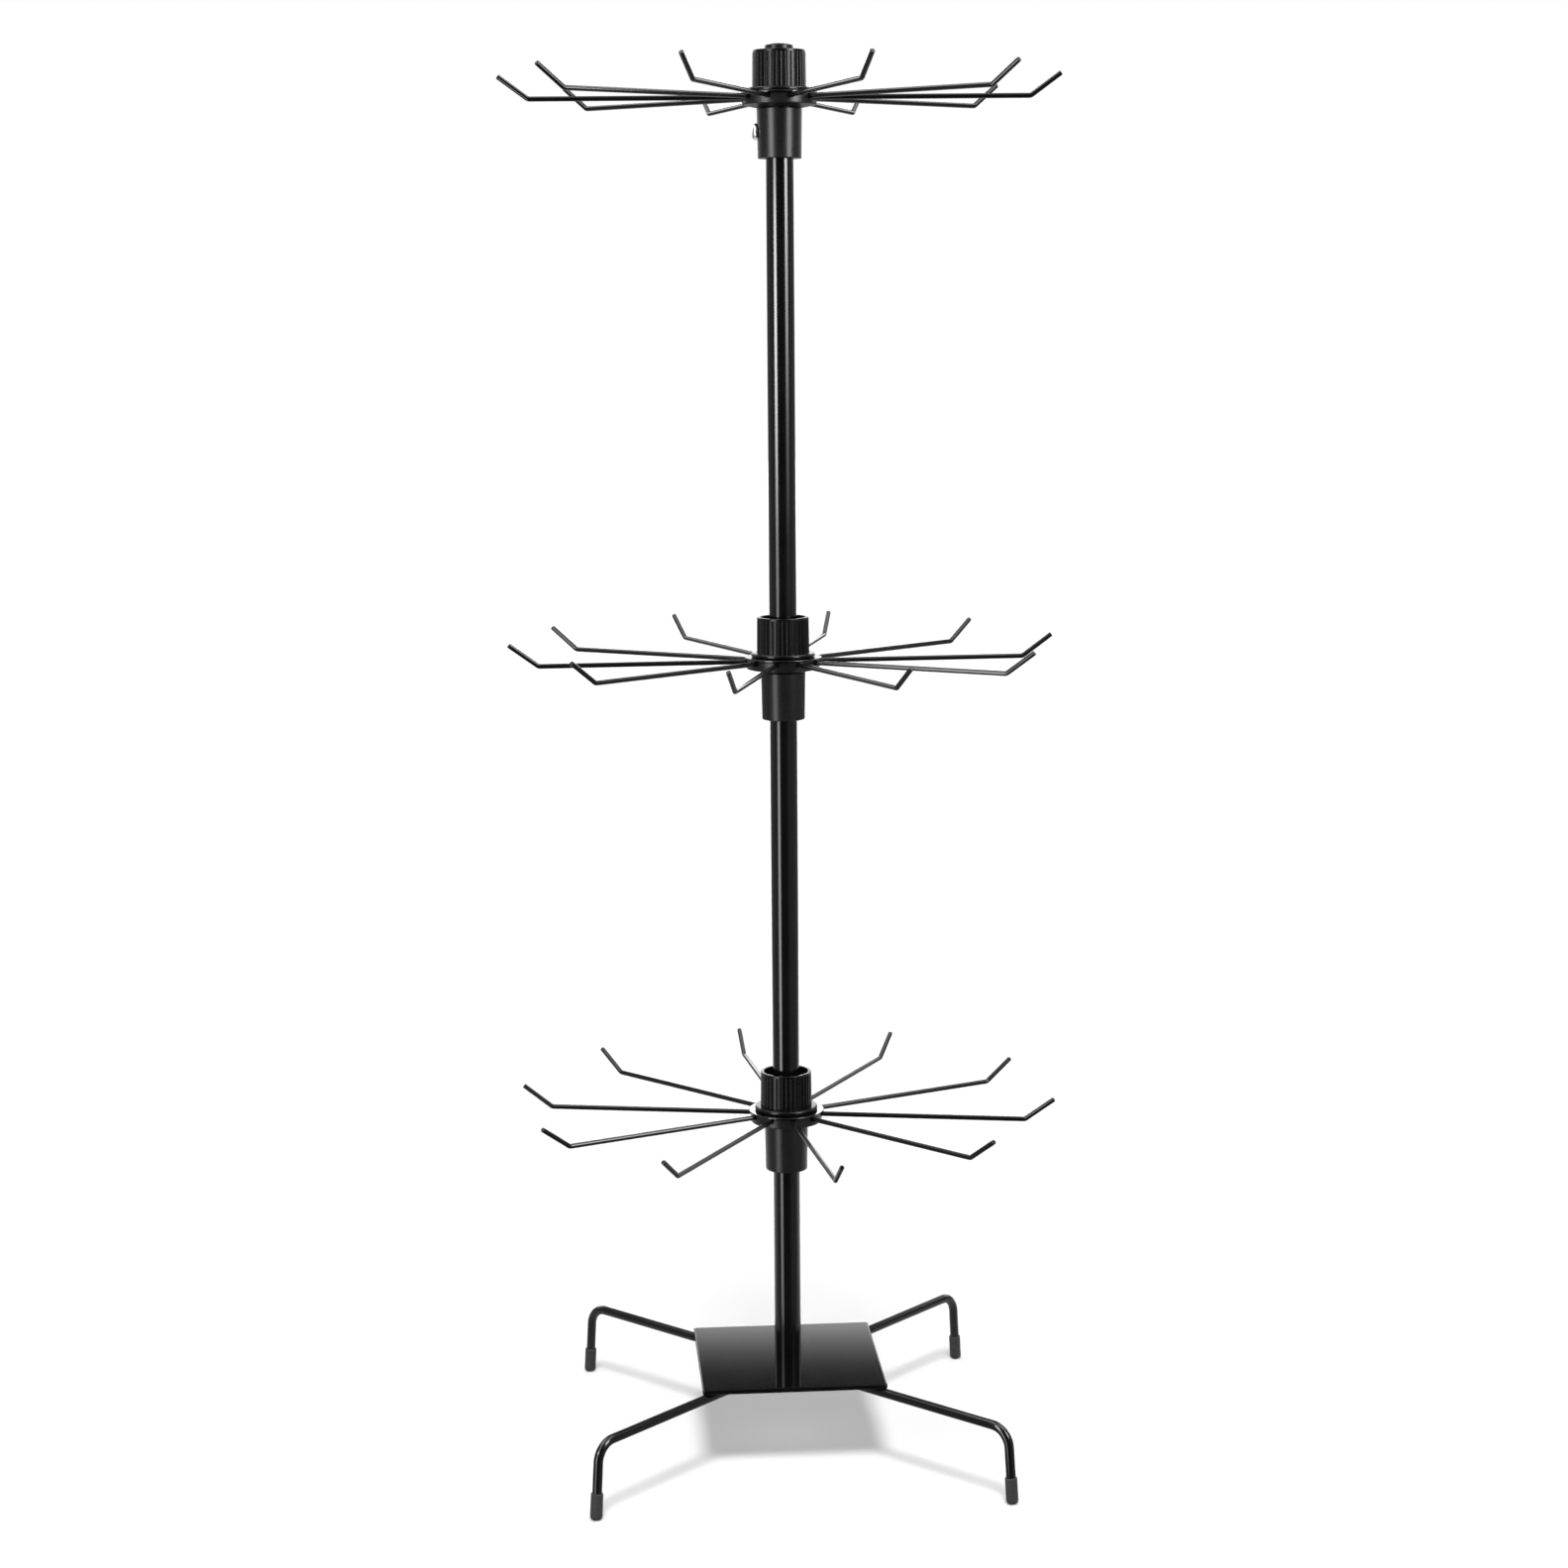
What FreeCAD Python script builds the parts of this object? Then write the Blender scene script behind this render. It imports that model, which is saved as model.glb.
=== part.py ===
import FreeCAD, Part
import math
import os
import Sketcher
from FreeCAD import Placement, Rotation, Vector

# A counter-top display rack with three rotating hook wheels on one pole.
#
# Frame: millimetres, +Z up, origin on the floor under the pole's axis, front towards -Y.
# The stand is a square plate on four bent rods with rubber feet, and a two-piece pole.
# Each tier is a stop collar clamped to the pole and, resting on it, a wheel: a slotted
# hub, ten bent wires, a flat ring over them and a fluted nut that clamps the ring down.
# Everything in a tier is measured from its datum, the plane of the wires' straight runs.

DIMENSIONS = {
    # Pole: two tubes end to end, with a joiner inside and a cap on top.
    "pole_diameter": 16.0,
    "pole_wall": 1.0,
    "pole_joint_height": 461.0,
    "pole_top_height": 830.0,
    "joiner_length": 60.0,
    "joiner_bore_radius": 5.0,
    "plug_length": 24.0,
    "plug_clearance": 0.03,
    "end_chamfer": 0.8,
    "cap_diameter": 16.4,
    "cap_rim_height": 3.6,
    "cap_dome_height": 1.2,
    "cap_edge_radius": 0.5,
    "cap_stem_length": 12.0,
    # Base plate and the bolt that holds the pole to it.
    "plate_side": 110.6,
    "plate_thickness": 3.2,
    "plate_top_height": 50.3,
    "plate_turn": 4.5,
    "plate_corner_radius": 1.5,
    "plate_edge_radius": 0.9,
    "bolt_diameter": 8.0,
    "bolt_length": 20.0,
    "bolt_flange_diameter": 17.0,
    "bolt_flange_thickness": 1.2,
    "bolt_head_width": 13.0,
    "bolt_head_height": 4.5,
    "bolt_clearance": 0.2,
    "thread_clearance": 0.05,
    # Legs: a rod runs out under the plate's diagonal, bends, and goes down slightly splayed.
    "leg_diameter": 5.6,
    "leg_inner_reach": 14.0,
    "leg_bend_reach": 167.0,
    "leg_floor_reach": 170.4,
    "leg_bend_radius": 12.0,
    "foot_diameter": 7.2,
    "foot_length": 15.8,
    "foot_sole": 2.0,
    "foot_spare": 0.6,
    "foot_edge_radius": 2.5,
    "foot_lip_chamfer": 0.5,
    # Tiers: height of each datum, where its first wire points, where its screw points.
    "top_datum": 804.6,
    "middle_datum": 479.3,
    "bottom_datum": 203.9,
    "top_wheel_turn": 35.6,
    "middle_wheel_turn": 7.5,
    "bottom_wheel_turn": 28.9,
    "top_collar_turn": 180.0,
    "middle_collar_turn": 90.0,
    "bottom_collar_turn": 90.0,
    # Hook wires, by distance from the pole's axis and height over the datum.
    "wire_diameter": 2.9,
    "wire_root_reach": 15.0,
    "wire_root_drop": 4.2,
    "wire_root_radius": 2.5,
    "wire_bend_reach": 144.2,
    "wire_bend_radius": 3.0,
    "wire_tip_reach": 161.7,
    "wire_tip_rise": 12.8,
    "wire_tip_rounding": 0.6,
    # Hub: a slotted disc with a threaded tube that runs on the pole.
    "running_clearance": 0.08,
    "hub_radius": 21.5,
    "hub_top": 1.1,
    "hub_rim_drop": 4.3,
    "hub_neck_radius": 13.5,
    "hub_neck_drop": 5.9,
    "hub_tube_radius": 10.4,
    "hub_tube_top": 20.5,
    "slot_clearance": 0.1,
    "hub_edge_radius": 0.6,
    # Clamp ring.
    "ring_radius": 22.8,
    "ring_thickness": 1.2,
    "ring_edge_radius": 0.4,
    # Grip nut: a flange and a tapered fluted cup around the hub's tube.
    "nut_top": 26.3,
    "nut_top_radius": 15.25,
    "nut_foot_radius": 15.5,
    "nut_flange_radius": 18.9,
    "nut_flange_height": 2.6,
    "nut_flange_edge_radius": 1.15,
    "nut_cup_radius": 13.3,
    "nut_web_height": 6.0,
    "nut_rim_radius": 0.4,
    "flute_radius": 0.8,
    "flute_plain_rim": 1.4,
    # Stop collar and its clamp screw.
    "seam_gap": 0.35,
    "bearing_radius": 10.6,
    "bearing_gap": 0.1,
    "collar_top_radius": 13.1,
    "collar_bottom_radius": 12.6,
    "collar_length": 28.2,
    "collar_edge_radius": 0.5,
    "collar_screw_depth": 13.1,
    "spot_face_diameter": 10.4,
    "dimple_diameter": 2.0,
    "dimple_depth": 0.35,
    "screw_diameter": 5.0,
    "screw_seat_reach": 12.6,
    "screw_head_diameter": 9.6,
    "screw_head_height": 3.1,
    "screw_head_rounding": 2.4,
    "screw_recess_width": 1.3,
    "screw_recess_span": 5.2,
    "screw_recess_depth": 1.8,
}

SAME = 1e-3  # two places or sizes closer than this are the same
WIRES_PER_WHEEL = 10
FLUTES_PER_NUT = 36
TIERS = ("top", "middle", "bottom")
LEG_CORNERS = {
    "back_right": 45.0,
    "back_left": 135.0,
    "front_left": 225.0,
    "front_right": 315.0,
}


class Size:
    """A number together with the spreadsheet expression that gives it."""

    def __init__(self, value, text):
        self.value = value
        self.text = text

    def __add__(self, other):
        other = as_size(other)
        return Size(self.value + other.value, f"({self.text} + {other.text})")

    def __sub__(self, other):
        other = as_size(other)
        return Size(self.value - other.value, f"({self.text} - {other.text})")

    def __mul__(self, other):
        other = as_size(other)
        return Size(self.value * other.value, f"({self.text} * {other.text})")

    def __truediv__(self, other):
        other = as_size(other)
        return Size(self.value / other.value, f"({self.text} / {other.text})")

    def __neg__(self):
        return Size(-self.value, f"(-1 * {self.text})")


def as_size(number):
    """Let a plain number stand where a Size is expected."""
    if isinstance(number, Size):
        return number
    return Size(float(number), repr(float(number)))


def size(alias):
    """The driving dimension with this name."""
    return Size(DIMENSIONS[alias], f"dimensions.{alias}")


document = FreeCAD.newDocument("display_rack")
parts = []


def fill_sheet():
    """Write the driving dimensions to the spreadsheet, one named cell each."""
    sheet = document.addObject("Spreadsheet::Sheet", "dimensions")
    for row, (alias, value) in enumerate(DIMENSIONS.items(), start=1):
        sheet.set(f"A{row}", str(value))
        sheet.setAlias(f"A{row}", alias)
    document.recompute()


# ---------------------------------------------------------------- document helpers


def new_body(label, turn=0.0, height=0.0):
    """Start a sub-part, turned about the pole's axis and lifted to its height."""
    turn = as_size(turn)
    height = as_size(height)
    body = document.addObject("PartDesign::Body", label)
    body.Label = label
    body.Placement = Placement(Vector(0, 0, height.value), Rotation(Vector(0, 0, 1), turn.value))
    body.setExpression("Placement.Base.z", height.text)
    body.setExpression("Placement.Rotation.Angle", turn.text)
    parts.append(body)
    return body


def new_sketch(body, name, plane, offset=0.0):
    """Start a sketch on one of the body's own origin planes, moved along its normal."""
    offset = as_size(offset)
    support = next(item for item in body.Origin.OriginFeatures if item.Role == plane)
    sketch = body.newObject("Sketcher::SketchObject", name)
    sketch.AttachmentSupport = [(support, "")]
    sketch.MapMode = "FlatFace"
    sketch.AttachmentOffset = Placement(Vector(0, 0, offset.value), Rotation())
    sketch.setExpression("AttachmentOffset.Base.z", offset.text)
    return sketch


def bind(sketch, kind, arguments, value):
    """Add one dimension to a sketch and tie it to the sheet."""
    value = as_size(value)
    index = sketch.addConstraint(Sketcher.Constraint(kind, *arguments, value.value))
    sketch.setExpression(f"Constraints[{index}]", value.text)


def pin(sketch, geometry, point, place):
    """Hold one point of a sketch at a place given from the sketch's origin."""
    bind(sketch, "DistanceX", (geometry, point), place[0])
    bind(sketch, "DistanceY", (geometry, point), place[1])


def flat(place):
    """A sketch point as a vector."""
    return Vector(as_size(place[0]).value, as_size(place[1]).value, 0)


def draw_polygon(sketch, corners):
    """Draw a closed outline whose corners follow the sheet."""
    first = sketch.GeometryCount
    count = len(corners)
    for start, end in zip(corners, corners[1:] + corners[:1]):
        sketch.addGeometry(Part.LineSegment(flat(start), flat(end)))
    for index, corner in enumerate(corners):
        following = first + (index + 1) % count
        sketch.addConstraint(Sketcher.Constraint("Coincident", first + index, 2, following, 1))
        pin(sketch, first + index, 1, corner)


def draw_circle(sketch, centre, diameter):
    """Draw a circle whose centre and diameter follow the sheet."""
    diameter = as_size(diameter)
    circle = Part.Circle(flat(centre), Vector(0, 0, 1), diameter.value / 2)
    index = sketch.addGeometry(circle)
    pin(sketch, index, 3, centre)
    bind(sketch, "Diameter", (index,), diameter)


def revolve(body, name, outline, axis="V_Axis"):
    """Turn an outline of (distance, height) corners into a solid of revolution."""
    sketch = new_sketch(body, f"{name}_outline", "XZ_Plane")
    draw_polygon(sketch, outline)
    feature = body.newObject("PartDesign::Revolution", name)
    feature.Profile = sketch
    feature.ReferenceAxis = (sketch, [axis])
    feature.Angle = 360
    document.recompute()
    return feature


def pad(body, sketch, name, length):
    """Thicken a sketch along its normal."""
    length = as_size(length)
    feature = body.newObject("PartDesign::Pad", name)
    feature.Profile = sketch
    feature.Length = length.value
    feature.setExpression("Length", length.text)
    document.recompute()
    return feature


def pocket(body, sketch, name, length, backwards=False, both_ways=False, along=None):
    """Cut a sketch into the body, and make sure that it did remove material.

    The cut goes against the sketch's normal, or with it if backwards, or half each way.
    Along is the (outward, upward) direction of a cut that leans.
    """
    length = as_size(length)
    before = body.Shape.Volume
    feature = body.newObject("PartDesign::Pocket", name)
    feature.Profile = sketch
    feature.Length = length.value
    feature.setExpression("Length", length.text)
    feature.Reversed = backwards
    feature.SideType = "Symmetric" if both_ways else "One side"
    if along is not None:
        feature.UseCustomVector = True
        feature.Direction = Vector(along[0].value, 0, along[1].value)
        feature.setExpression("Direction.x", along[0].text)
        feature.setExpression("Direction.z", along[1].text)
        feature.AlongSketchNormal = True
    document.recompute()
    if not body.Shape.Volume < before:
        raise RuntimeError(f"{body.Label}: {name} removed nothing")
    return feature


def repeat_around(body, feature, count, angle=360):
    """Repeat the last feature evenly around the body's upright axis."""
    upright = next(item for item in body.Origin.OriginFeatures if item.Role == "Z_Axis")
    pattern = body.newObject("PartDesign::PolarPattern", f"{feature.Name}_around")
    pattern.Originals = [feature]
    pattern.Axis = (upright, [""])
    pattern.Angle = angle
    pattern.Occurrences = count
    body.Tip = pattern
    document.recompute()
    return pattern


def edges_where(feature, test):
    """Names of the feature's edges that pass a test."""
    edges = enumerate(feature.Shape.Edges, start=1)
    names = [f"Edge{number}" for number, edge in edges if test(edge)]
    if not names:
        raise RuntimeError(f"{feature.Name}: no edge to work on")
    return names


def dress(body, kind, name, feature, test, amount):
    """Round or chamfer the edges that pass a test."""
    names = edges_where(feature, test)
    dressed = body.newObject(f"PartDesign::{kind}", name)
    dressed.Base = (feature, names)
    sized = "Radius" if kind == "Fillet" else "Size"
    setattr(dressed, sized, amount.value)
    dressed.setExpression(sized, amount.text)
    document.recompute()
    return dressed


def is_circle(edge, radius):
    """Whether an edge is a circle of this radius."""
    if edge.Degenerated or not isinstance(edge.Curve, Part.Circle):
        return False
    return abs(edge.Curve.Radius - radius.value) < SAME


def circle_at(radius, height):
    """Test for a circular edge of one radius at one height."""
    return lambda edge: is_circle(edge, radius) and abs(edge.Curve.Center.z - height.value) < SAME


def any_of(*tests):
    """Test for an edge that passes at least one of several tests."""
    return lambda edge: any(test(edge) for test in tests)


def draw_bent_path(sketch, corners, radii):
    """Draw straight runs from corner to corner with a tangent arc inside each bend.

    Each inner corner is a pinned point on the lines of both runs beside it.
    """
    points = [flat(corner) for corner in corners]
    ends = [points[0]]
    arcs = []
    for index, radius in enumerate(radii, start=1):
        back = (points[index - 1] - points[index]).normalize()
        ahead = (points[index + 1] - points[index]).normalize()
        half_angle = back.getAngle(ahead) / 2
        setback = radius.value / math.tan(half_angle)
        toward_centre = (back + ahead).normalize()
        middle_of_arc = points[index] + toward_centre * (
            radius.value / math.sin(half_angle) - radius.value
        )
        arcs.append((points[index] + back * setback, middle_of_arc, points[index] + ahead * setback))
        ends += [arcs[-1][0], arcs[-1][2]]
    ends.append(points[-1])
    runs = [
        sketch.addGeometry(Part.LineSegment(ends[2 * number], ends[2 * number + 1]))
        for number in range(len(corners) - 1)
    ]
    pin(sketch, runs[0], 1, corners[0])
    pin(sketch, runs[-1], 2, corners[-1])
    for number, (arc, radius) in enumerate(zip(arcs, radii)):
        bend = sketch.addGeometry(Part.Arc(*arc))
        bend_start = ends[2 * number + 1]
        starts_first = sketch.getPoint(bend, 1).distanceToPoint(bend_start) < 1e-6
        near, far = (1, 2) if starts_first else (2, 1)
        join = Sketcher.Constraint("Tangent", runs[number], 2, bend, near)
        sketch.addConstraint(join)
        join = Sketcher.Constraint("Tangent", bend, far, runs[number + 1], 1)
        sketch.addConstraint(join)
        bind(sketch, "Radius", (bend,), radius)
        knee = sketch.addGeometry(Part.Point(points[number + 1]), True)
        pin(sketch, knee, 1, corners[number + 1])
        sketch.addConstraint(Sketcher.Constraint("PointOnObject", knee, 1, runs[number]))
        sketch.addConstraint(Sketcher.Constraint("PointOnObject", knee, 1, runs[number + 1]))


def bent_rod(body, name, diameter, corners, radii, section_plane, section_offset, section_centre):
    """A round rod along a bent path in the body's upright XZ plane."""
    path = new_sketch(body, f"{name}_path", "XZ_Plane")
    draw_bent_path(path, corners, radii)
    section = new_sketch(body, f"{name}_section", section_plane, section_offset)
    draw_circle(section, section_centre, diameter)
    feature = body.newObject("PartDesign::AdditivePipe", name)
    feature.Profile = section
    feature.Spine = (path, [])
    document.recompute()
    return feature


# ---------------------------------------------------------------- derived places

pole_radius = size("pole_diameter") / 2
pole_inside = pole_radius - size("pole_wall")
plug_radius = pole_inside - size("plug_clearance")
plate_underside = size("plate_top_height") - size("plate_thickness")
arm_height = plate_underside - size("leg_diameter") / 2
splay_run = size("leg_floor_reach") - size("leg_bend_reach")
wire_radius = size("wire_diameter") / 2
bore_radius = pole_radius + size("running_clearance")
ring_top = wire_radius + size("ring_thickness")
flange_top = ring_top + size("nut_flange_height")
collar_top = -(size("hub_neck_drop") + size("seam_gap"))
collar_bottom = collar_top - size("collar_length")
screw_height = collar_top - size("collar_screw_depth")


# ---------------------------------------------------------------- stand


def make_base_plate():
    """The square plate, turned a little, with a hole for the bolt."""
    body = new_body("base_plate", size("plate_turn"), plate_underside)
    half = size("plate_side") / 2
    outline = new_sketch(body, "plate_outline", "XY_Plane")
    draw_polygon(outline, [(-half, -half), (half, -half), (half, half), (-half, half)])
    slab = pad(body, outline, "slab", size("plate_thickness"))

    def upright(edge):
        return edge.BoundBox.ZLength > SAME

    corners = dress(body, "Fillet", "corners", slab, upright, size("plate_corner_radius"))

    def level(edge):
        return edge.BoundBox.ZLength < SAME

    dress(body, "Fillet", "edges", corners, level, size("plate_edge_radius"))
    hole = new_sketch(body, "hole_outline", "XY_Plane")
    draw_circle(hole, (0, 0), size("bolt_diameter") + size("bolt_clearance") * 2)
    pocket(body, hole, "bolt_hole", size("plate_thickness"), backwards=True)


def make_leg(corner, turn):
    """One bent rod, welded under the plate's diagonal and ending inside its foot."""
    body = new_body(f"leg_{corner}", size("plate_turn") + turn)
    end_height = size("foot_sole")
    end_reach = size("leg_floor_reach") - splay_run * end_height / arm_height
    corners = [
        (size("leg_inner_reach"), arm_height),
        (size("leg_bend_reach"), arm_height),
        (end_reach, end_height),
    ]
    bent_rod(
        body, "rod", size("leg_diameter"), corners, [size("leg_bend_radius")],
        "YZ_Plane", size("leg_inner_reach"), (0, arm_height),
    )


def make_foot(corner, turn):
    """A rubber cap pushed onto the end of a leg, its sole flat on the floor."""
    body = new_body(f"foot_{corner}", size("plate_turn") + turn)
    along = math.hypot(splay_run.value, arm_height.value)
    outward = Size(splay_run.value / along, f"sin(atan2({splay_run.text}; {arm_height.text}))")
    upward = Size(arm_height.value / along, f"cos(atan2({splay_run.text}; {arm_height.text}))")

    def on_leg(across, up_the_leg):
        """A place given across and along the leg's sloping axis, from where it meets z = 0."""
        reach = size("leg_floor_reach") + upward * across - outward * up_the_leg
        return reach, outward * across + upward * up_the_leg

    outer = size("foot_diameter") / 2
    socket = size("leg_diameter") / 2 + size("plug_clearance")
    chamfer = size("foot_lip_chamfer")
    length = size("foot_length")
    sole = size("foot_sole") / upward
    outline = [
        on_leg(as_size(0), -size("foot_spare")),
        on_leg(outer, -size("foot_spare")),
        on_leg(outer, length - chamfer),
        on_leg(outer - chamfer, length),
        on_leg(socket, length),
        on_leg(socket, sole),
        on_leg(as_size(0), sole),
    ]
    sketch = new_sketch(body, "cap_outline", "XZ_Plane")
    draw_polygon(sketch, outline)
    axis = sketch.addGeometry(Part.LineSegment(flat(outline[0]), flat(outline[-1])), True)
    sketch.addConstraint(Sketcher.Constraint("Coincident", axis, 1, 0, 1))
    sketch.addConstraint(Sketcher.Constraint("Coincident", axis, 2, len(outline) - 1, 1))
    cap = body.newObject("PartDesign::Revolution", "cap")
    cap.Profile = sketch
    cap.ReferenceAxis = (sketch, ["Axis0"])
    cap.Angle = 360
    document.recompute()
    trim = new_sketch(body, "floor_trim", "XY_Plane")
    draw_circle(trim, (size("leg_floor_reach"), 0), size("foot_diameter") * 2)
    flattened = pocket(body, trim, "flat_sole", size("foot_spare") * 3)

    def sole_rim(edge):
        return abs(edge.BoundBox.ZMax) < SAME

    dress(body, "Fillet", "sole_edge", flattened, sole_rim, size("foot_edge_radius"))


def make_tube(label, bottom, top):
    """One length of the pole."""
    body = new_body(label, height=bottom)
    ring = new_sketch(body, "tube_outline", "XY_Plane")
    draw_circle(ring, (0, 0), size("pole_diameter"))
    draw_circle(ring, (0, 0), pole_inside * 2)
    pad(body, ring, "tube", top - bottom)


def make_plug(label, bottom, length, bore):
    """A chamfered plug inside the pole, with a bore right through."""
    body = new_body(label, height=bottom)
    chamfer = size("end_chamfer")
    outline = [
        (bore, 0),
        (plug_radius - chamfer, 0),
        (plug_radius, chamfer),
        (plug_radius, length - chamfer),
        (plug_radius - chamfer, length),
        (bore, length),
    ]
    revolve(body, "plug", outline)


def make_top_cap():
    """The plug that closes the pole, with a domed head over the tube's end."""
    body = new_body("top_cap", height=size("pole_top_height"))
    head = size("cap_diameter") / 2
    rim = size("cap_rim_height")
    apex = rim + size("cap_dome_height")
    stem = size("cap_stem_length")
    chamfer = size("end_chamfer")
    corners = [
        (0, apex),
        (0, -stem),
        (plug_radius - chamfer, -stem),
        (plug_radius, chamfer - stem),
        (plug_radius, 0),
        (head, 0),
        (head, rim),
    ]
    sketch = new_sketch(body, "cap_outline", "XZ_Plane")
    for start, end in zip(corners, corners[1:]):
        sketch.addGeometry(Part.LineSegment(flat(start), flat(end)))
    last = len(corners) - 2
    for line, corner in enumerate(corners[:-1]):
        pin(sketch, line, 1, corner)
        if line < last:
            sketch.addConstraint(Sketcher.Constraint("Coincident", line, 2, line + 1, 1))
    pin(sketch, last, 2, corners[-1])
    dome_height = (apex - rim).value
    dome_radius = (head.value ** 2 + dome_height ** 2) / (2 * dome_height)
    centre = Vector(0, apex.value - dome_radius, 0)
    half_way = math.asin(head.value / dome_radius) / 2
    crown = centre + Vector(math.sin(half_way), math.cos(half_way), 0) * dome_radius
    dome = sketch.addGeometry(Part.Arc(flat(corners[-1]), crown, flat(corners[0])))
    sketch.addConstraint(Sketcher.Constraint("Coincident", dome, 1, last, 2))
    sketch.addConstraint(Sketcher.Constraint("Coincident", dome, 2, 0, 1))
    sketch.addConstraint(Sketcher.Constraint("PointOnObject", dome, 3, -2))
    cap = body.newObject("PartDesign::Revolution", "cap")
    cap.Profile = sketch
    cap.ReferenceAxis = (sketch, ["V_Axis"])
    cap.Angle = 360
    document.recompute()
    dress(body, "Fillet", "rim_rounding", cap, circle_at(head, rim), size("cap_edge_radius"))


def make_base_bolt():
    """The flanged hexagon bolt that comes up through the plate into the pole's plug."""
    body = new_body("base_bolt", height=plate_underside)
    shank = size("bolt_diameter") / 2
    flange = size("bolt_flange_diameter") / 2
    flange_bottom = -size("bolt_flange_thickness")
    chamfer = size("end_chamfer")
    outline = [
        (0, flange_bottom),
        (flange, flange_bottom),
        (flange, 0),
        (shank, 0),
        (shank, size("bolt_length") - chamfer),
        (shank - chamfer, size("bolt_length")),
        (0, size("bolt_length")),
    ]
    revolve(body, "shank_and_flange", outline)
    across_corners = size("bolt_head_width") / math.sqrt(3)
    hexagon = []
    for corner in range(6):
        angle = math.radians(60 * corner)
        hexagon.append((across_corners * math.cos(angle), across_corners * math.sin(angle)))
    sketch = new_sketch(body, "hexagon", "XY_Plane", flange_bottom - size("bolt_head_height"))
    draw_polygon(sketch, hexagon)
    pad(body, sketch, "head", size("bolt_head_height"))


# ---------------------------------------------------------------- tiers


def make_collar(tier):
    """The sleeve that its screw clamps to the pole; the wheel turns on its raised ring."""
    body = new_body(f"{tier}_stop_collar", size(f"{tier}_collar_turn"), size(f"{tier}_datum"))
    bearing_top = -(size("hub_neck_drop") + size("bearing_gap"))
    outline = [
        (bore_radius, collar_bottom),
        (size("collar_bottom_radius"), collar_bottom),
        (size("collar_top_radius"), collar_top),
        (size("bearing_radius"), collar_top),
        (size("bearing_radius"), bearing_top),
        (bore_radius, bearing_top),
    ]
    sleeve = revolve(body, "sleeve", outline)
    rims = any_of(
        circle_at(size("collar_bottom_radius"), collar_bottom),
        circle_at(size("collar_top_radius"), collar_top),
    )
    dress(body, "Fillet", "rims", sleeve, rims, size("collar_edge_radius"))
    seat = size("screw_seat_reach")
    spot = new_sketch(body, "spot_face_outline", "YZ_Plane", seat)
    draw_circle(spot, (0, screw_height), size("spot_face_diameter"))
    pocket(body, spot, "spot_face", size("screw_head_height"), backwards=True)
    hole = new_sketch(body, "screw_hole_outline", "YZ_Plane", seat)
    draw_circle(hole, (0, screw_height), size("screw_diameter") + size("thread_clearance") * 2)
    pocket(body, hole, "screw_hole", seat)
    taper = size("collar_top_radius") - size("collar_bottom_radius")
    surface = size("collar_top_radius") - taper * size("collar_screw_depth") / size("collar_length")
    mark = new_sketch(body, "dimple_outline", "XZ_Plane", size("dimple_depth") - surface)
    draw_circle(mark, (0, screw_height), size("dimple_diameter"))
    dimple = pocket(body, mark, "dimple", size("dimple_depth") * 2)
    repeat_around(body, dimple, count=3, angle=180)


def make_screw(tier):
    """The pan-head screw that locks the collar; its own axis is the body's X axis."""
    height = size(f"{tier}_datum") + screw_height
    body = new_body(f"{tier}_clamp_screw", size(f"{tier}_collar_turn"), height)
    seat = size("screw_seat_reach")
    tip = pole_radius + size("bearing_gap")
    shank = size("screw_diameter") / 2
    chamfer = size("end_chamfer")
    head = size("screw_head_diameter") / 2
    crown = seat + size("screw_head_height")
    outline = [
        (tip, 0),
        (crown, 0),
        (crown, head),
        (seat, head),
        (seat, shank),
        (tip + chamfer, shank),
        (tip, shank - chamfer),
    ]
    turned = revolve(body, "turned", outline, axis="H_Axis")

    def head_rim(edge):
        return is_circle(edge, head) and abs(edge.Curve.Center.x - crown.value) < SAME

    dress(body, "Fillet", "head_rounding", turned, head_rim, size("screw_head_rounding"))
    thin = size("screw_recess_width") / 2
    long = size("screw_recess_span") / 2
    quarter = [(thin, thin), (thin, long), (-thin, long)]
    cross = []
    for _ in range(4):
        cross += quarter
        quarter = [(-across, along) for along, across in quarter]
    recess = new_sketch(body, "cross_outline", "YZ_Plane", crown)
    draw_polygon(recess, cross)
    pocket(body, recess, "cross_recess", size("screw_recess_depth"))


def make_hub(tier):
    """The slotted disc and threaded tube that run on the pole."""
    body = new_body(f"{tier}_hub", size(f"{tier}_wheel_turn"), size(f"{tier}_datum"))
    rim_bottom = -size("hub_rim_drop")
    outline = [
        (bore_radius, -size("hub_neck_drop")),
        (size("hub_neck_radius"), -size("hub_neck_drop")),
        (size("hub_radius"), rim_bottom),
        (size("hub_radius"), size("hub_top")),
        (size("hub_tube_radius"), size("hub_top")),
        (size("hub_tube_radius"), size("hub_tube_top")),
        (bore_radius, size("hub_tube_top")),
    ]
    disc = revolve(body, "disc_and_tube", outline)
    rim = circle_at(size("hub_radius"), rim_bottom)
    dress(body, "Fillet", "rim_rounding", disc, rim, size("hub_edge_radius"))
    room = wire_radius + size("slot_clearance")
    root = size("wire_root_reach")
    drop = size("wire_root_drop")
    turn_radius = size("wire_root_radius")
    slot_side = [
        (root - room, size("hub_top")),
        (root - room, -(drop + size("slot_clearance"))),
        (root + room, -(drop + size("slot_clearance"))),
        (root + room, -turn_radius),
        (root + turn_radius, -room),
        (size("hub_radius") + room, -room),
        (size("hub_radius") + room, size("hub_top")),
    ]
    sketch = new_sketch(body, "slot_side", "XZ_Plane")
    draw_polygon(sketch, slot_side)
    slot = pocket(body, sketch, "slot", room * 2, both_ways=True)
    repeat_around(body, slot, WIRES_PER_WHEEL)


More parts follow.
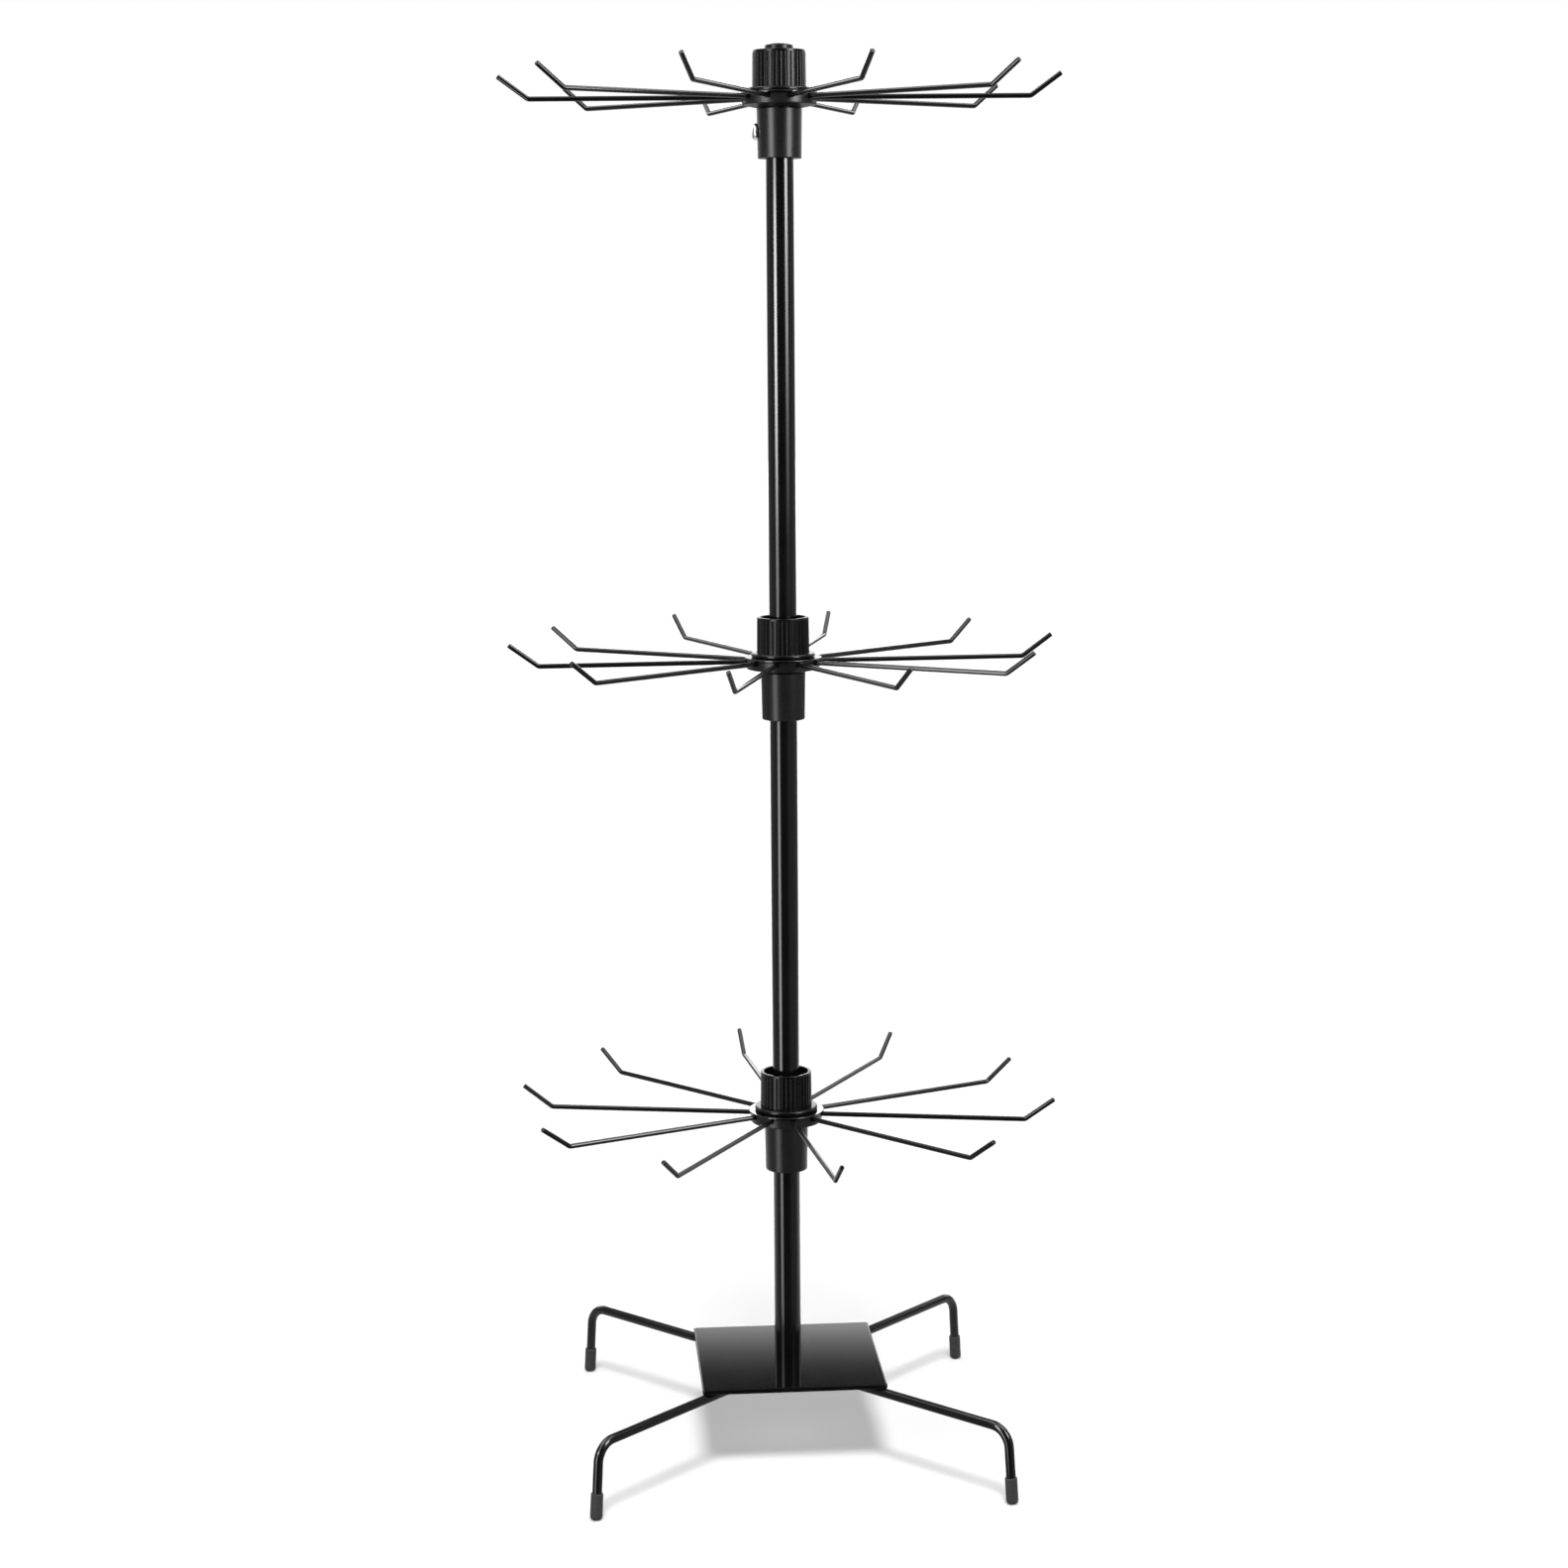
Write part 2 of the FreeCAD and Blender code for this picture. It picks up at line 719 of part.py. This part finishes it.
def make_hook(tier, number):
    """One wire: root bent down into the hub, a long level run, and an upturned tip."""
    turn = size(f"{tier}_wheel_turn") + 360.0 / WIRES_PER_WHEEL * (number - 1)
    body = new_body(f"{tier}_hook_{number:02d}", turn, size(f"{tier}_datum"))
    root = size("wire_root_reach")
    drop = -size("wire_root_drop")
    tip = (size("wire_tip_reach"), size("wire_tip_rise"))
    corners = [(root, drop), (root, 0), (size("wire_bend_reach"), 0), tip]
    radii = [size("wire_root_radius"), size("wire_bend_radius")]
    wire = bent_rod(
        body, "wire", size("wire_diameter"), corners, radii, "XY_Plane", drop, (root, 0)
    )

    def tip_rim(edge):
        at_tip = Vector(tip[0].value, 0, tip[1].value)
        return is_circle(edge, wire_radius) and edge.Curve.Center.distanceToPoint(at_tip) < SAME

    dress(body, "Fillet", "tip_rounding", wire, tip_rim, size("wire_tip_rounding"))


def make_ring(tier):
    """The flat ring that holds the wires down in their slots."""
    body = new_body(f"{tier}_clamp_ring", height=size(f"{tier}_datum"))
    inner = size("hub_tube_radius") + size("thread_clearance")
    outer = size("ring_radius")
    outline = [(inner, wire_radius), (outer, wire_radius), (outer, ring_top), (inner, ring_top)]
    washer = revolve(body, "washer", outline)
    rims = any_of(circle_at(outer, wire_radius), circle_at(outer, ring_top))
    dress(body, "Fillet", "rims", washer, rims, size("ring_edge_radius"))


def make_nut(tier):
    """The fluted cup-shaped nut that screws down over the hub's tube."""
    body = new_body(f"{tier}_grip_nut", size(f"{tier}_wheel_turn"), size(f"{tier}_datum"))
    inner = size("hub_tube_radius") + size("thread_clearance")
    cup = size("nut_cup_radius")
    flange = size("nut_flange_radius")
    web_top = ring_top + size("nut_web_height")
    outline = [
        (inner, ring_top),
        (flange, ring_top),
        (flange, flange_top),
        (size("nut_foot_radius"), flange_top),
        (size("nut_top_radius"), size("nut_top")),
        (cup, size("nut_top")),
        (cup, web_top),
        (inner, web_top),
    ]
    turned = revolve(body, "turned", outline)
    flange_rims = any_of(circle_at(flange, flange_top), circle_at(flange, ring_top))
    rounded = dress(
        body, "Fillet", "flange_rims", turned, flange_rims, size("nut_flange_edge_radius")
    )
    mouth = any_of(
        circle_at(size("nut_top_radius"), size("nut_top")),
        circle_at(cup, size("nut_top")),
    )
    dress(body, "Fillet", "mouth_rim", rounded, mouth, size("nut_rim_radius"))
    sketch = new_sketch(body, "flute_outline", "XY_Plane", flange_top)
    draw_circle(sketch, (size("nut_foot_radius"), 0), size("flute_radius") * 2)
    lean = size("nut_top_radius") - size("nut_foot_radius")
    rise = size("nut_top") - flange_top
    flute = pocket(body, sketch, "flute", rise - size("flute_plain_rim"), along=(lean, rise))
    repeat_around(body, flute, FLUTES_PER_NUT)


# ---------------------------------------------------------------- assembly


def check_everything():
    """Stop if any object failed or any sub-part is not one sound solid."""
    for item in document.Objects:
        if "Invalid" in item.State or "Error" in item.State:
            raise RuntimeError(f"{item.Label} did not build: {item.State}")
    for part in parts:
        shape = part.Shape
        if shape.isNull() or not shape.isValid() or len(shape.Solids) != 1:
            raise RuntimeError(f"{part.Label} is not one sound solid")


fill_sheet()
make_base_plate()
make_base_bolt()
for corner, turn in LEG_CORNERS.items():
    make_leg(corner, turn)
    make_foot(corner, turn)
pole_joint = size("pole_joint_height")
make_tube("lower_pole", size("plate_top_height"), pole_joint)
make_tube("upper_pole", pole_joint, size("pole_top_height"))
bolt_thread = size("bolt_diameter") / 2 + size("thread_clearance")
make_plug("pole_foot_plug", size("plate_top_height"), size("plug_length"), bolt_thread)
joiner_bottom = pole_joint - size("joiner_length") / 2
make_plug("pole_joiner", joiner_bottom, size("joiner_length"), size("joiner_bore_radius"))
make_top_cap()
for tier in TIERS:
    make_collar(tier)
    make_screw(tier)
    make_hub(tier)
    make_ring(tier)
    make_nut(tier)
    for number in range(1, WIRES_PER_WHEEL + 1):
        make_hook(tier, number)

document.recompute()
check_everything()
os.makedirs("parts", exist_ok=True)
for part in parts:
    part.Shape.exportStep(f"parts/{part.Label}.step")
    print(f"{part.Label}: {part.Shape.Volume / 1000:.2f} cm3")
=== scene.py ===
import math

import bpy
from mathutils import Matrix, Vector


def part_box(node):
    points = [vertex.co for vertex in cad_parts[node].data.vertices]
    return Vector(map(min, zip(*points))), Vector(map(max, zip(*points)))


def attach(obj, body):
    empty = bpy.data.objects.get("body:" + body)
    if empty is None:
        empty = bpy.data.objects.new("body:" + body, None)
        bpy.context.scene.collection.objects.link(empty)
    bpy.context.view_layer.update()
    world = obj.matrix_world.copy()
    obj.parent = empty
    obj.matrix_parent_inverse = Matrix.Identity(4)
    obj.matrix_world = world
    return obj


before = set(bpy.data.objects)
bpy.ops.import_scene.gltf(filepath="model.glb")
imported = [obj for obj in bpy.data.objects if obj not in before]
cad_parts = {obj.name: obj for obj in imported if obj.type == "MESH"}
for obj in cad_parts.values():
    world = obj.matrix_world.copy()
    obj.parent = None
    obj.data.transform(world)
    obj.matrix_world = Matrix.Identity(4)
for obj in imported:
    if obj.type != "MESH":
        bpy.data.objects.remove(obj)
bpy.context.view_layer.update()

# Looks of the rotating display rack: finishes for the CAD nodes, the thread on each hub
# tube, the weld beads under the plate, and the studio with its lights and camera.
# Metres, +Z up, front towards -Y, origin on the floor under the pole.

MM = 0.001
TIERS = ("top", "middle", "bottom")
CORNERS = ("back_right", "back_left", "front_left", "front_right")

scene = bpy.context.scene


# ---------------------------------------------------------------- camera


def add_camera():
    """A long lens a little above the rack's middle, looking slightly down."""
    place = Matrix.Translation((0.0, -1.7218, 0.6827))
    pitch = Matrix.Rotation(math.radians(-9.14), 4, "X")
    roll = Matrix.Rotation(math.radians(0.40), 4, "Y")
    level = Matrix.Rotation(math.radians(90.0), 4, "X")
    data = bpy.data.cameras.new("camera")
    data.sensor_fit = "HORIZONTAL"
    data.sensor_width = 36.0
    data.lens = 67.28
    camera = bpy.data.objects.new("camera", data)
    camera.matrix_world = place @ pitch @ roll @ level
    scene.collection.objects.link(camera)
    scene.camera = camera


# ---------------------------------------------------------------- finishes


class Finish:
    """One material: its shader, and short ways to add the nodes that feed it."""

    def __init__(self, name, **sockets):
        self.material = bpy.data.materials.new(name)
        self.material.use_nodes = True
        self.tree = self.material.node_tree
        self.shader = self.tree.nodes["Principled BSDF"]
        for socket, value in sockets.items():
            self.shader.inputs[socket.replace("_", " ")].default_value = value
        self.place = self.add("TexCoord").outputs["Object"]

    def add(self, kind, inputs=None, **settings):
        """A new node, its settings, and its inputs set or joined."""
        node = self.tree.nodes.new("ShaderNode" + kind)
        for setting, value in settings.items():
            setattr(node, setting, value)
        for socket, value in (inputs or {}).items():
            if isinstance(value, bpy.types.NodeSocket):
                self.tree.links.new(value, node.inputs[socket])
            else:
                node.inputs[socket].default_value = value
        return node

    def noise(self, size, detail=2.0, stretch=(1.0, 1.0, 1.0)):
        """Soft blotches of about this size in metres, stretched along an axis where asked."""
        place = self.add("Mapping", {"Vector": self.place, "Scale": stretch})
        inputs = {"Vector": place.outputs["Vector"], "Scale": 1.0 / size, "Detail": detail}
        return self.add("TexNoise", inputs).outputs[0]

    def cells(self, size):
        """Distance to the nearest of scattered points about this far apart in metres."""
        inputs = {"Vector": self.place, "Scale": 1.0 / size}
        return self.add("TexVoronoi", inputs).outputs["Distance"]

    def spread(self, value, low, high, to_low=0.0, to_high=1.0, shape="LINEAR"):
        """value moved from the range low..high to to_low..to_high, and held inside it."""
        inputs = {
            "Value": value,
            "From Min": low,
            "From Max": high,
            "To Min": to_low,
            "To Max": to_high,
        }
        return self.add("MapRange", inputs, interpolation_type=shape).outputs["Result"]

    def vary(self, noise, to_low=0.0, to_high=1.0):
        """A noise, which mostly keeps between 0.3 and 0.7, moved to the range to_low..to_high."""
        return self.spread(noise, 0.3, 0.7, to_low, to_high)

    def combine(self, operation, first, second):
        """One Math node on two values."""
        return self.add("Math", {0: first, 1: second}, operation=operation).outputs[0]

    def mix(self, factor, first, second):
        """A colour between two colours: the first at factor 0, the second at factor 1."""
        inputs = {"Factor": factor, "A": first, "B": second}
        node = self.tree.nodes.new("ShaderNodeMix")
        node.data_type = "RGBA"
        chosen = {s.name: s for s in node.inputs if s.enabled}
        for socket, value in inputs.items():
            if isinstance(value, bpy.types.NodeSocket):
                self.tree.links.new(value, chosen[socket])
            else:
                chosen[socket].default_value = value
        return next(s for s in node.outputs if s.enabled)

    def edges(self, radius):
        """1 on the part's edges, out to about this radius, and 0 on its faces."""
        rounded = self.add("Bevel", {"Radius": radius}, samples=4).outputs["Normal"]
        true = self.add("NewGeometry").outputs["Normal"]
        product = self.add("VectorMath", {0: rounded, 1: true}, operation="DOT_PRODUCT")
        on_faces = 0.98
        on_edges = 0.80
        return self.spread(product.outputs["Value"], on_faces, on_edges)

    def bump(self, height, distance, normal=None):
        """A normal bent by height, whose whole range stands for distance in metres."""
        inputs = {"Height": height, "Distance": distance, "Strength": 1.0}
        if normal is not None:
            inputs["Normal"] = normal
        return self.add("Bump", inputs).outputs["Normal"]

    def give(self, **sockets):
        """Join outputs to the shader's sockets."""
        for socket, output in sockets.items():
            self.tree.links.new(output, self.shader.inputs[socket.replace("_", " ")])
        return self.material


def grey(value, warmth=0.0):
    """A grey as RGBA, very slightly warm or cool."""
    return (value * (1.0 + warmth), value, value * (1.0 - warmth), 1.0)


def coated_metal(name, shine, gloss, patchiness, peel_size, peel_depth):
    """Black powder coat: orange peel, patchy gloss, specks, and edges rubbed a little paler."""
    finish = Finish(name, Specular_IOR_Level=shine)
    patches = finish.noise(18 * MM, detail=3.0)
    peel = finish.noise(peel_size, detail=1.0)
    specks = finish.spread(finish.cells(4.0 * MM), 0.06, 0.02)
    worn = finish.edges(0.5 * MM)
    rubbed = finish.combine("MULTIPLY", worn, finish.spread(patches, 0.42, 0.62))
    colour = finish.mix(finish.vary(patches), grey(0.002), grey(0.003))
    colour = finish.mix(finish.combine("MULTIPLY", specks, 0.35), colour, grey(0.03))
    colour = finish.mix(finish.combine("MULTIPLY", rubbed, 0.5), colour, grey(0.035, 0.01))
    smoothest = gloss - 0.4 * patchiness
    roughest = gloss + 0.6 * patchiness
    uneven = finish.vary(patches, smoothest, roughest)
    roughness = finish.combine("ADD", uneven, finish.combine("MULTIPLY", rubbed, 0.12))
    normal = finish.bump(peel, peel_depth)
    normal = finish.bump(specks, 0.004 * MM, normal)
    return finish.give(Base_Color=colour, Roughness=roughness, Normal=normal)


def moulded_plastic(name, darkest, shine, gloss, grain_depth):
    """Black moulded plastic: fine spark grain, flow marks and paler handled edges."""
    finish = Finish(name, Specular_IOR_Level=shine)
    flow = finish.noise(14 * MM, detail=2.0, stretch=(1.0, 1.0, 0.35))
    grain = finish.noise(0.35 * MM, detail=2.0)
    scuffs = finish.noise(1.6 * MM, detail=3.0, stretch=(1.0, 1.0, 0.12))
    worn = finish.edges(0.3 * MM)
    rubbed = finish.combine("MULTIPLY", worn, finish.spread(scuffs, 0.45, 0.65))
    colour = finish.mix(finish.vary(flow), grey(darkest), grey(darkest * 1.6))
    colour = finish.mix(finish.combine("MULTIPLY", rubbed, 0.5), colour, grey(0.03))
    uneven = finish.vary(flow, gloss - 0.02, gloss + 0.03)
    roughness = finish.combine("ADD", uneven, finish.spread(grain, 0.35, 0.7, -0.02, 0.03))
    normal = finish.bump(flow, 0.008 * MM)
    normal = finish.bump(grain, grain_depth, normal)
    return finish.give(Base_Color=colour, Roughness=roughness, Normal=normal)


def rubber():
    """Matt dark grey rubber: mottled, with a fine speckled surface and dusty edges."""
    finish = Finish("matt_grey_rubber", Specular_IOR_Level=0.2, Sheen_Weight=0.05, Sheen_Roughness=0.5)
    mottle = finish.noise(3.0 * MM, detail=4.0)
    speckle = finish.noise(0.4 * MM, detail=2.0)
    dust = finish.edges(0.6 * MM)
    colour = finish.mix(finish.vary(mottle), grey(0.016, -0.03), grey(0.024, -0.03))
    colour = finish.mix(finish.combine("MULTIPLY", dust, 0.35), colour, grey(0.05, 0.02))
    roughness = finish.vary(speckle, 0.62, 0.80)
    normal = finish.bump(mottle, 0.03 * MM)
    normal = finish.bump(speckle, 0.02 * MM, normal)
    return finish.give(Base_Color=colour, Roughness=roughness, Normal=normal)


def zinc_plate():
    """Bright zinc on steel: fine turning lines, cloudy passivation and a few dull patches."""
    finish = Finish("bright_zinc", Metallic=1.0, Anisotropic=0.3)
    clouds = finish.noise(2.5 * MM, detail=4.0)
    lines = finish.noise(0.25 * MM, detail=2.0, stretch=(0.15, 1.0, 1.0))
    colour = finish.mix(finish.vary(clouds), grey(0.62, -0.02), grey(0.78, 0.02))
    roughness = finish.vary(clouds, 0.16, 0.30)
    normal = finish.bump(lines, 0.004 * MM)
    return finish.give(Base_Color=colour, Roughness=roughness, Normal=normal)


def finish_nodes():
    """Give every CAD node the finish of its material slot, or for some nodes their own."""
    satin = moulded_plastic(
        "satin_black_plastic", darkest=0.006, shine=0.19, gloss=0.28, grain_depth=0.0008 * MM
    )
    pole_and_legs = coated_metal(
        "gloss_powder_coat",
        shine=0.35,
        gloss=0.12,
        patchiness=0.025,
        peel_size=2.2 * MM,
        peel_depth=0.0015 * MM,
    )
    wires = coated_metal(
        "gloss_wire_coat",
        shine=0.35,
        gloss=0.12,
        patchiness=0.025,
        peel_size=2.5 * MM,
        peel_depth=0.0008 * MM,
    )
    rings = coated_metal(
        "high_gloss_enamel",
        shine=0.35,
        gloss=0.08,
        patchiness=0.025,
        peel_size=4.0 * MM,
        peel_depth=0.002 * MM,
    )
    nuts = moulded_plastic(
        "gloss_black_plastic", darkest=0.002, shine=0.17, gloss=0.20, grain_depth=0.0005 * MM
    )
    feet = rubber()
    screws = zinc_plate()
    plate = coated_metal(
        "gloss_plate_coat",
        shine=0.15,
        gloss=0.06,
        patchiness=0.003,
        peel_size=5.0 * MM,
        peel_depth=0.001 * MM,
    )
    finishes = {
        "satin_plastic": satin,
        "powder_coat": pole_and_legs,
        "wire_coat": wires,
        "ring_enamel": rings,
        "hub_plastic": nuts,
        "foot_rubber": feet,
        "zinc_steel": screws,
    }
    special = {"base_plate": plate, "top_cap": satin}
    for tier in TIERS:
        special[f"{tier}_stop_collar"] = satin
        special[f"{tier}_hub"] = satin
    for name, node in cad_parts.items():
        for slot in node.material_slots:
            slot.material = special.get(name, finishes[slot.material.name])
    return finishes


# ---------------------------------------------------------------- added pieces


def loft(name, rings):
    """A closed tube with flat ends through rings of points, all with as many points."""
    count = len(rings[0])
    points = [point for ring in rings for point in ring]
    faces = [tuple(reversed(range(count)))]
    for start in range(0, len(points) - count, count):
        for i in range(count):
            after = (i + 1) % count
            faces.append((start + i, start + after, start + count + after, start + count + i))
    faces.append(tuple(range(len(points) - count, len(points))))
    mesh = bpy.data.meshes.new(name)
    mesh.from_pydata(points, [], faces)
    mesh.validate()
    mesh.polygons.foreach_set("use_smooth", [True] * len(mesh.polygons))
    piece = bpy.data.objects.new(name, mesh)
    scene.collection.objects.link(piece)
    return piece


def add_thread(tier, material):
    """The coarse moulded thread on a hub's tube, seen down inside the nut's open cup."""
    tube_radius = 10.4 * MM
    crest = 0.75 * MM
    buried = 0.15 * MM
    pitch = 2.5 * MM
    half_root = 0.75 * MM
    half_crest = 0.3 * MM
    steps_per_turn = 60
    runout_steps = 15
    end_room = 1.3 * MM
    web_height = 6.0 * MM
    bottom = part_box(f"{tier}_grip_nut")[0].z + web_height + end_room
    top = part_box(f"{tier}_hub")[1].z - end_room
    steps = int((top - bottom) / pitch * steps_per_turn)
    rings = []
    for step in range(steps + 1):
        angle = math.tau * step / steps_per_turn
        height = bottom + pitch * step / steps_per_turn
        runout = min(1.0, step / runout_steps, (steps - step) / runout_steps)
        outer = tube_radius + crest * runout
        inner = tube_radius - buried
        profile = (
            (inner, -half_root),
            (inner, half_root),
            (outer, half_crest),
            (outer, -half_crest),
        )
        rings.append(
            [(r * math.cos(angle), r * math.sin(angle), height + rise) for r, rise in profile]
        )
    thread = loft(f"{tier}_hub_thread", rings)
    thread.data.materials.append(material)
    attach(thread, f"{tier}_wheel")


def add_weld(name, start, along, length, material):
    """One weld bead: a row of overlapping ripples, swollen in the middle of its length."""
    ripple = 1.3 * MM
    ripple_depth = 0.16
    radius = 1.5 * MM
    blunt_end = 0.03
    end_roundness = 0.35
    steps = 56
    sides = 14
    rings = []
    across = Vector((-along.y, along.x, 0.0))
    for step in range(steps + 1):
        share = step / steps
        wave = abs(math.sin(math.pi * share * length / ripple))
        inside = min(max(share, blunt_end), 1.0 - blunt_end)
        taper = math.sin(math.pi * inside) ** end_roundness
        swell = radius * taper * (1.0 - ripple_depth + ripple_depth * wave)
        centre = start + along * (share * length)
        ring = []
        for side in range(sides):
            turn = math.tau * side / sides
            ring.append(centre + swell * (across * math.cos(turn) + Vector((0, 0, math.sin(turn)))))
        rings.append(ring)
    bead = loft(name, rings)
    bead.data.materials.append(material)
    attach(bead, "stand")


def add_leg_welds(corner, material):
    """Two beads on each side of a leg, where its rod lies against the plate's underside."""
    rod_radius = 2.8 * MM
    aside = 0.95 * rod_radius
    below_plate = 1.3 * MM
    length = 14.0 * MM
    low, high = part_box(f"foot_{corner}")
    outward = Vector(((low.x + high.x) / 2, (low.y + high.y) / 2, 0.0)).normalized()
    across = Vector((-outward.y, outward.x, 0.0))
    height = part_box("base_plate")[0].z - below_plate
    for place, reach in (("inner", 18.0 * MM), ("outer", 52.0 * MM)):
        for side, sign in (("left", 1.0), ("right", -1.0)):
            start = outward * reach + across * (sign * aside)
            start.z = height
            add_weld(f"weld_{corner}_{place}_{side}", start, outward, length, material)


# ---------------------------------------------------------------- studio


def add_stage(name, points, faces, material, **seen):
    """A floor, wall or lit panel that isn't part of the rack, and which rays see it."""
    mesh = bpy.data.meshes.new(name)
    mesh.from_pydata(points, [], faces)
    mesh.materials.append(material)
    stage = bpy.data.objects.new(name, mesh)
    for rays, visible in seen.items():
        setattr(stage, f"visible_{rays}", visible)
    scene.collection.objects.link(stage)


def floor_paint():
    """Pale matt floor, very faintly mottled."""
    finish = Finish("pale_floor", Specular_IOR_Level=0.0, Roughness=0.95)
    clouds = finish.noise(0.4, detail=3.0)
    colour = finish.mix(finish.vary(clouds), grey(0.795), grey(0.805))
    return finish.give(Base_Color=colour)


def lamp(name, strength):
    """A white cloth, evenly lit."""
    unlit = {"Base_Color": grey(0.0), "Specular_IOR_Level": 0.0}
    lit = {"Emission_Color": grey(1.0), "Emission_Strength": strength}
    return Finish(name, **unlit, **lit).material


def glow(name, axis, *stops):
    """A white cloth whose light runs smoothly through (place, strength) stops on an axis."""
    finish = Finish(name, Base_Color=grey(0.0), Specular_IOR_Level=0.0, Emission_Color=grey(1.0))
    place = finish.add("SeparateXYZ", {"Vector": finish.place}).outputs[axis]
    start, total = stops[0]
    strength = total
    for end, target in stops[1:]:
        change = finish.spread(place, start, end, 0.0, target - strength, "SMOOTHSTEP")
        total = finish.combine("ADD", total, change)
        start, strength = end, target
    return finish.give(Emission_Strength=total)


def add_softbox(name, azimuth, distance, width, bottom, top, material):
    """An upright lit panel, azimuth degrees round from the front, seen only as a reflection."""
    turn = math.radians(azimuth)
    middle = Vector((math.sin(turn), -math.cos(turn), 0.0)) * distance
    side = Vector((math.cos(turn), math.sin(turn), 0.0)) * (width / 2)
    points = []
    for height in (bottom, top):
        level = Vector((0.0, 0.0, height))
        points += [middle - side + level, middle + side + level]
    faces = [(0, 1, 3, 2)]
    seen = {"camera": False, "diffuse": False, "shadow": False}
    add_stage(name, points, faces, material, **seen)


def add_level_panel(name, near, far, half_width, height, material):
    """A level lit panel from the place near to far along Y, seen only as a reflection."""
    corners = [(-half_width, near), (half_width, near), (half_width, far), (-half_width, far)]
    points = [(x, y, height) for x, y in corners]
    seen = {"camera": False, "diffuse": False, "shadow": False}
    add_stage(name, points, [(0, 1, 2, 3)], material, **seen)


def add_room(radius, height, fill):
    """A round floor and a white wall round it, and the low light that the wall gives."""
    sides = 96
    inset = 0.98
    points = []
    for level in (0.0, height):
        for side in range(sides):
            turn = math.tau * side / sides
            points.append((radius * math.cos(turn), radius * math.sin(turn), level))
    wall = [
        (i, (i + 1) % sides, sides + (i + 1) % sides, sides + i) for i in range(sides)
    ]
    add_stage("floor", points[:sides], [tuple(range(sides))], floor_paint(), glossy=False)
    seen = {"glossy": False, "diffuse": False, "shadow": False}
    add_stage("wall", points, wall, lamp("lit_wall", 1.0), **seen)
    seen = {"camera": False, "glossy": False, "shadow": False}
    inside = [(x * inset, y * inset, z) for x, y, z in points]
    add_stage("fill", inside, wall, lamp("wall_fill", fill), **seen)


def add_sun(elevation, irradiance, softness):
    """The soft key light, over the camera; its reflection is left to the overhead panel."""
    data = bpy.data.lights.new("key", "SUN")
    data.energy = irradiance
    data.angle = math.radians(softness)
    light = bpy.data.objects.new("key", data)
    light.matrix_world = Matrix.Rotation(math.radians(90.0 - elevation), 4, "X")
    light.visible_glossy = False
    scene.collection.objects.link(light)


def add_surroundings(dark, sides):
    """The rest of the studio: dark in front, behind and above, paler to the two sides."""
    world = bpy.data.worlds.new("studio")
    world.use_nodes = True
    scene.world = world
    tree = world.node_tree
    place = tree.nodes.new("ShaderNodeTexCoord")
    split = tree.nodes.new("ShaderNodeSeparateXYZ")
    aside = tree.nodes.new("ShaderNodeMath")
    aside.operation = "ABSOLUTE"
    level = tree.nodes.new("ShaderNodeMapRange")
    limits = {"From Min": 0.30, "From Max": 0.85, "To Min": dark, "To Max": sides}
    for socket, limit in limits.items():
        level.inputs[socket].default_value = limit
    background = tree.nodes["Background"]
    background.inputs["Color"].default_value = grey(1.0)
    tree.links.new(place.outputs["Generated"], split.inputs["Vector"])
    tree.links.new(split.outputs["X"], aside.inputs[0])
    tree.links.new(aside.outputs["Value"], level.inputs["Value"])
    tree.links.new(level.outputs["Result"], background.inputs["Strength"])


def add_studio():
    """Floor, wall, reflected panels and lights."""
    scene.view_settings.view_transform = "Standard"
    add_room(radius=12.0, height=8.0, fill=1.95)
    add_surroundings(dark=0.04, sides=0.38)
    add_sun(elevation=66.5, irradiance=2.45, softness=17.0)
    left = glow(
        "glow_left",
        "Z",
        (-0.30, 5.0),
        (0.00, 9.0),
        (0.20, 9.0),
        (0.42, 5.5),
        (0.67, 29.0),
        (0.75, 29.0),
        (0.85, 9.0),
    )
    right = glow("glow_right", "Z", (0.44, 0.4), (0.56, 3.0), (0.70, 11.5), (0.80, 22.0))
    back = glow("glow_back", "Z", (0.6, 0.6), (1.2, 1.7), (1.72, 3.6), (1.9, 8.0), (2.3, 0.0))
    even = lamp("glow_corner", 2.2)
    above = glow("glow_above", "X", (-0.6, 5.0), (-0.2, 1.5), (0.2, 1.5), (0.6, 5.0))
    table = glow("glow_table", "Y", (-0.15, 0.3), (0.30, 1.1), (0.8, 1.1), (2.0, 0.4))
    front = {"distance": 1.2, "bottom": -0.7, "top": 1.6}
    add_softbox("softbox_left", azimuth=-44.0, width=0.46, material=left, **front)
    add_softbox("softbox_right", azimuth=52.0, width=0.50, material=right, **front)
    behind = {"distance": 6.0, "bottom": 0.0, "top": 2.4}
    add_softbox("softbox_back", azimuth=180.0, width=5.0, material=back, **behind)
    corners = {"distance": 3.0, "bottom": 0.95, "top": 2.6}
    add_softbox("softbox_back_left", azimuth=-138.0, width=1.9, material=even, **corners)
    add_softbox("softbox_back_right", azimuth=138.0, width=1.9, material=even, **corners)
    add_level_panel(
        "softbox_above", near=-1.2, far=1.2, half_width=1.8, height=2.3, material=above
    )
    add_level_panel(
        "reflected_table", near=-0.15, far=6.0, half_width=0.75, height=-0.002, material=table
    )


add_camera()
finishes = finish_nodes()
for tier in TIERS:
    add_thread(tier, finishes["satin_plastic"])
for corner in CORNERS:
    add_leg_welds(corner, finishes["powder_coat"])
add_studio()
